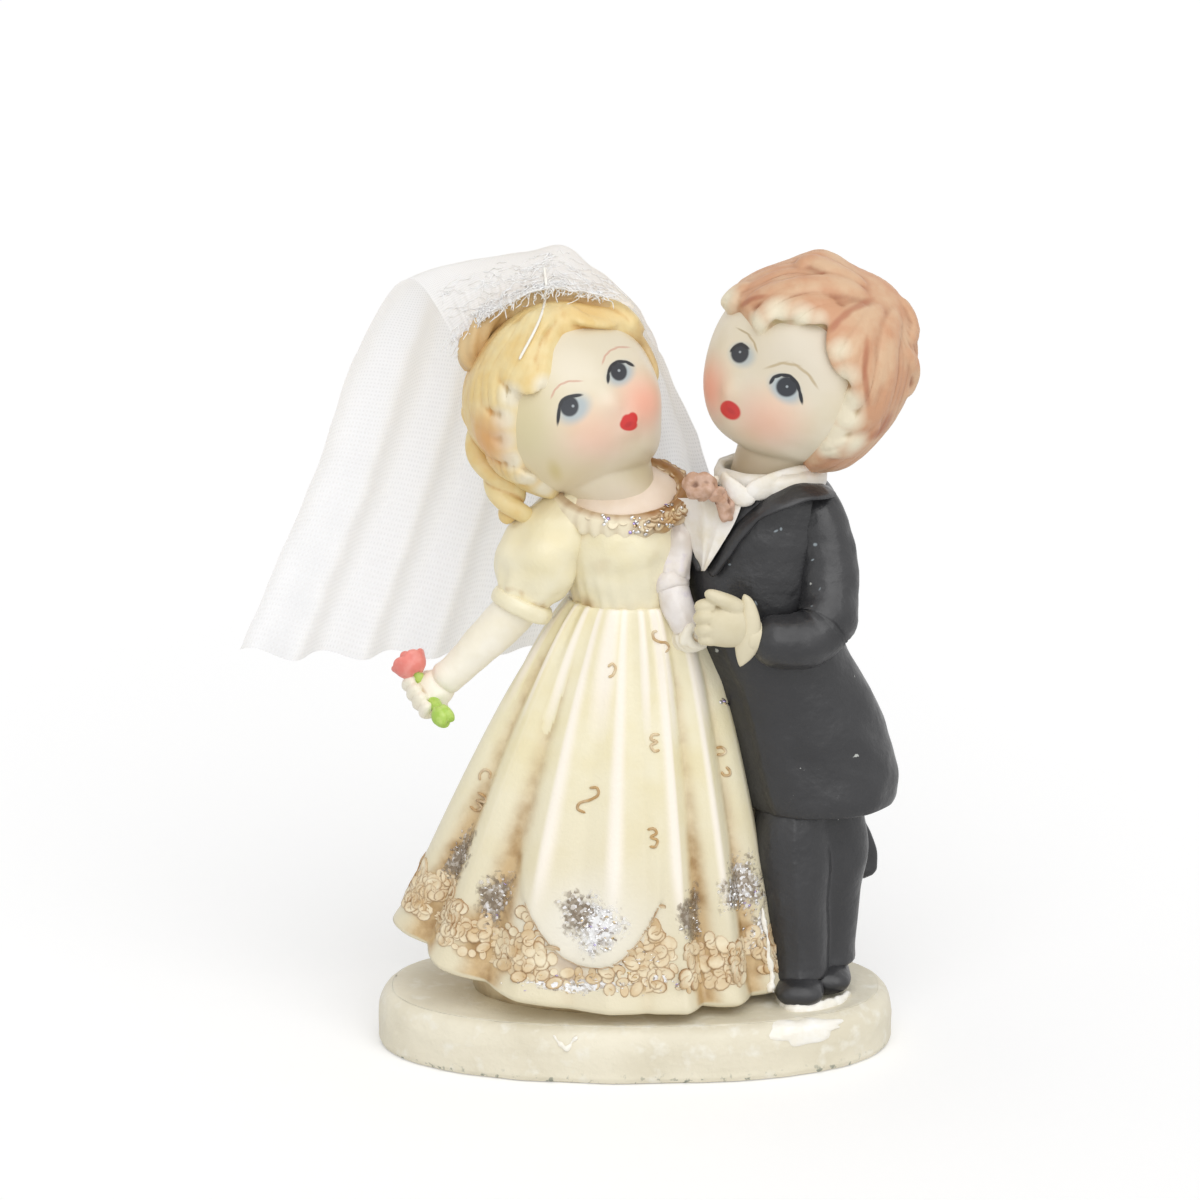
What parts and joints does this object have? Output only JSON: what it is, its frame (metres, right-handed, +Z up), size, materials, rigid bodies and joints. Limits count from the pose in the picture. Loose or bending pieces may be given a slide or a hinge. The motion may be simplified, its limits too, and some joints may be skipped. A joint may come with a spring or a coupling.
{
  "type": "wedding cake topper",
  "caption": "Cast resin bride and groom dancing on an oval plinth, the bride with a rose and a gauze veil, to stand on top of a wedding cake.",
  "frame": {"origin": "middle of the oval plinth's flat underside", "axes": "+Z up from the cake to the heads, +X to the couple's left with the bride on the -X side, -Y the way the couple face"},
  "size_m": [0.0831, 0.0356, 0.0998],
  "materials": {
    "ivory_resin": "ivory cast resin, satin",
    "pearl_gown": "pearl-painted ivory resin with tan lace relief and glitter",
    "skin": "cream resin with painted face",
    "blond_hair": "yellow wash on cream resin",
    "ginger_hair": "ginger wash on cream resin",
    "black_suit": "black gloss paint",
    "white_shirt": "white paint",
    "pink_rose": "pink paint",
    "green_leaf": "light green paint",
    "dusty_pink": "dusty pink paint",
    "gauze": "white cotton gauze, open weave",
    "white_glue": "dried white glue"
  },
  "bodies": {
    "root": {"plinth": "ivory_resin", "bride_skirt": "pearl_gown", "bride_bodice": "pearl_gown", "bride_neckline_garland": "pearl_gown", "bride_right_sleeve": "pearl_gown", "bride_right_cuff": "pearl_gown", "bride_right_forearm": "skin", "bride_right_fist": "skin", "bride_left_sleeve": "pearl_gown", "bride_left_cuff": "pearl_gown", "bride_left_forearm": "skin", "bride_left_fist": "skin", "rose_stem": "green_leaf", "rose_bloom": "pink_rose", "bride_head": "skin", "bride_hair": "blond_hair", "bride_hair_roll": "blond_hair", "bride_side_curl": "blond_hair", "veil": "gauze", "groom_trousers": "black_suit", "groom_right_shoe": "black_suit", "groom_left_shoe": "black_suit", "groom_glue_fillet": "white_glue", "groom_coat": "black_suit", "groom_left_tail": "black_suit", "groom_right_tail": "black_suit", "groom_shirt_front": "white_shirt", "groom_left_lapel": "black_suit", "groom_right_lapel": "black_suit", "groom_collar": "white_shirt", "groom_bow_knot": "dusty_pink", "groom_bow_left_wing": "dusty_pink", "groom_bow_right_wing": "dusty_pink", "groom_left_sleeve": "black_suit", "groom_left_cuff": "white_shirt", "groom_left_hand": "skin", "groom_right_sleeve": "black_suit", "groom_right_cuff": "white_shirt", "groom_right_hand": "skin", "groom_head": "skin", "groom_hair": "ginger_hair"}
  },
  "joints": []
}
